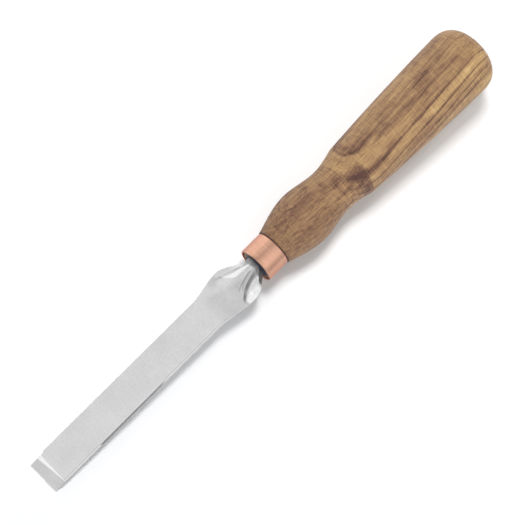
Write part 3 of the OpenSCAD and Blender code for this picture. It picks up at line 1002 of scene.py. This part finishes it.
def handle_outline():
    """Half of the handle's section: places back from the mouth of the ferrule, and radii."""
    outline = [
        (PILOT_END, POLE_R), (PILOT_END, PILOT_R), (BORE_DEPTH, PILOT_R), (BORE_DEPTH, BORE_R),
        (TENON_RECESS, BORE_R), (TENON_RECESS, TENON_R - TENON_CHAMFER),
        (TENON_RECESS + TENON_CHAMFER, TENON_R), (FERRULE_LEN, TENON_R),
        (FERRULE_LEN, WOOD_R - JOINT_CHAMFER)]
    body_end = HANDLE_LEN - BUTT_LEN
    curves = (
        ((FERRULE_LEN + JOINT_CHAMFER, WOOD_R, WOOD_SLOPE), (BULB_AT, BULB_R, 0.0)),
        ((BULB_AT, BULB_R, 0.0), (WAIST_AT, WAIST_R, 0.0)),
        ((WAIST_AT, WAIST_R, 0.0), (ARRIS_AT, ARRIS_R, WAIST_SLOPE)),
        ((ARRIS_AT, ARRIS_R, BODY_SLOPE), (body_end, BODY_R, BODY_END_SLOPE)))
    for first, last in curves:
        outline += [(at, span(first, last, at)) for at in steps(first[0], last[0], CURVE_POINTS)]
    power = 2.0 / BUTT_FULLNESS
    for turn in steps(0.0, math.pi / 2, BUTT_POINTS):
        outline += [(body_end + BUTT_LEN * math.sin(turn) ** power, BODY_R * math.cos(turn) ** power)]
    return outline + [(HANDLE_LEN, POLE_R)]


def make_handle():
    """Handle turned in one piece: bore, tenon, bulb, waist, arris, body and rounded butt."""
    leans = ((WAIST_AT, 0.0, 0.0), (ARRIS_AT, ARRIS_LEAN, 0.0), (ARRIS_AT + LEAN_FADES, 0.0, 0.0))
    angles = steps(0.0, 2.0 * math.pi, ROUND_POINTS)
    rings = []
    for at, r in handle_outline():
        in_bore = r < WAIST_R - 0.1
        lean = 0.0 if in_bore else follow(leans, at)
        rings.append([(-at - lean * math.sin(a), r * math.cos(a), r * math.sin(a)) for a in angles])
    piece = drawn_out("handle_turned", rings)
    laid(piece, wood(), "handle", smooth=30.0)


def make_adhesive():
    """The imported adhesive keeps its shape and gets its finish."""
    piece = bpy.data.objects["tang_adhesive"]
    piece.data.materials.clear()
    piece.data.materials.append(epoxy())


# The floor, in metres; it is lifted to white, but less in a strip where the blade's shadow falls,
# which paints that shadow deeper
FLOOR_SIZE = 8.0
FLOOR_Z = -0.0001
FLOOR_COLOUR = (0.85, 0.855, 0.865, 1.0)
FLOOR_LIFT = 0.13
SHADOW_AT = 0.009
SHADOW_SIDES = (0.005, 0.010)
SHADOW_LIFT = 0.02
FAR_FROM = (0.3, 1.5)
FAR_LIFT = 0.55


def make_floor():
    """Pale floor that stays white in the picture and keeps the shadow, with a strip of painted shadow
    beside the tool.
    """
    deselect()
    bpy.ops.mesh.primitive_plane_add(size=FLOOR_SIZE, location=(0.0, 0.0, FLOOR_Z))
    floor = bpy.context.object
    floor.name = "pale_floor"
    bpy.ops.object.transform_apply(location=True, rotation=True, scale=True)
    finish = Finish(bpy.data.materials.new("pale_floor"))
    place = finish.node("ShaderNodeTexCoord", {}, {}, "Object")
    away = finish.node("ShaderNodeVectorMath", {"operation": "LENGTH"}, {0: place}, "Value")
    # The floor glows less in a strip beside the tool: painted shadow
    aside = abs(finish.split(place)[1] - SHADOW_AT)
    lift = SHADOW_LIFT + finish.ramp(aside, *SHADOW_SIDES) * (FLOOR_LIFT - SHADOW_LIFT)
    lift = lift + finish.ramp(away, *FAR_FROM) * FAR_LIFT
    matt = finish.node("ShaderNodeBsdfDiffuse", {}, {"Color": FLOOR_COLOUR})
    glow = finish.node("ShaderNodeEmission", {}, {
        "Color": WHITE, "Strength": finish.looked_at() * lift})
    both = finish.node("ShaderNodeAddShader", {}, {0: matt, 1: glow})
    finish.node("ShaderNodeOutputMaterial", {}, {"Surface": both})
    floor.data.materials.append(finish.owner)


# The room and its lamps: each lamp's name, direction, width, height, brightness, and if metal shows it
ROOM_LEVEL = 0.30
ROOM_SEEN = 0.58
FLAG_TOWARD = Vector((-0.45, 0.89, 0.10)).normalized()
FLAG_SIDES = (math.cos(math.radians(40.0)), math.cos(math.radians(22.0)))
FLAG_TOP = (0.52, 0.22)
FLAG_DEPTH = 0.24
LAMP_FAR = 1.5
LAMPS = (
    ("overhead_box", (-0.05, 0.30, 1.0), 1.6, 1.1, 0.28, True),
    ("left_box", (-0.20, -0.80, 0.54), 2.2, 1.6, 0.48, True),
    ("heel_box", (0.58, -0.05, 1.0), 0.5, 0.8, 0.40, True),
    ("bevel_box", (0.92, 0.0, 1.0), 0.4, 0.8, 0.19, True),
    ("right_box", (-0.10, 0.75, 0.80), 1.6, 0.7, 0.32, True),
    ("key_box", (-0.20, -0.31, 1.0), 0.36, 0.36, 36.0, False),
    ("fill_box", (0.2, 1.0, 0.25), 1.6, 0.8, 2.6, False))


def make_room():
    """A plain white room, with a dark flag on the right for the metal to show."""
    world = bpy.data.worlds.new("studio")
    bpy.context.scene.world = world
    studio = Finish(world)
    toward = studio.node("ShaderNodeTexCoord", {}, {}, "Generated")
    facing = studio.node("ShaderNodeVectorMath", {"operation": "DOT_PRODUCT"}, {
        0: toward, 1: FLAG_TOWARD}, "Value")
    height = studio.split(toward)[2]
    flag = studio.ramp(facing, *FLAG_SIDES) * studio.ramp(height, *FLAG_TOP)
    level = ROOM_SEEN - flag * FLAG_DEPTH
    strength = ROOM_LEVEL + studio.looked_at() * (level - ROOM_LEVEL)
    room = studio.node("ShaderNodeBackground", {}, {"Color": WHITE, "Strength": strength})
    studio.node("ShaderNodeOutputWorld", {}, {"Surface": room})


def make_lamps():
    """Soft boxes for the metal, a key that draws the shadow and a fill. Each faces the middle of the
    tool with its width along it."""
    for name, direction, width, height, level, in_metal in LAMPS:
        data = bpy.data.lights.new(name, "AREA")
        data.shape = "RECTANGLE"
        data.size = width
        data.size_y = height
        data.energy = level * math.pi * width * height
        light = bpy.data.objects.new(name, data)
        bpy.context.scene.collection.objects.link(light)
        toward = Vector(direction).normalized()
        along = (Vector((1.0, 0.0, 0.0)) - toward * toward.x).normalized()
        turned = Matrix((along, toward.cross(along), toward)).transposed().to_4x4()
        light.matrix_world = Matrix.Translation(toward * LAMP_FAR) @ turned
        light.visible_glossy = in_metal


make_blade()
make_ferrule()
make_handle()
make_adhesive()
make_floor()
make_room()
make_lamps()
camera()
bpy.context.scene.view_settings.view_transform = "Standard"
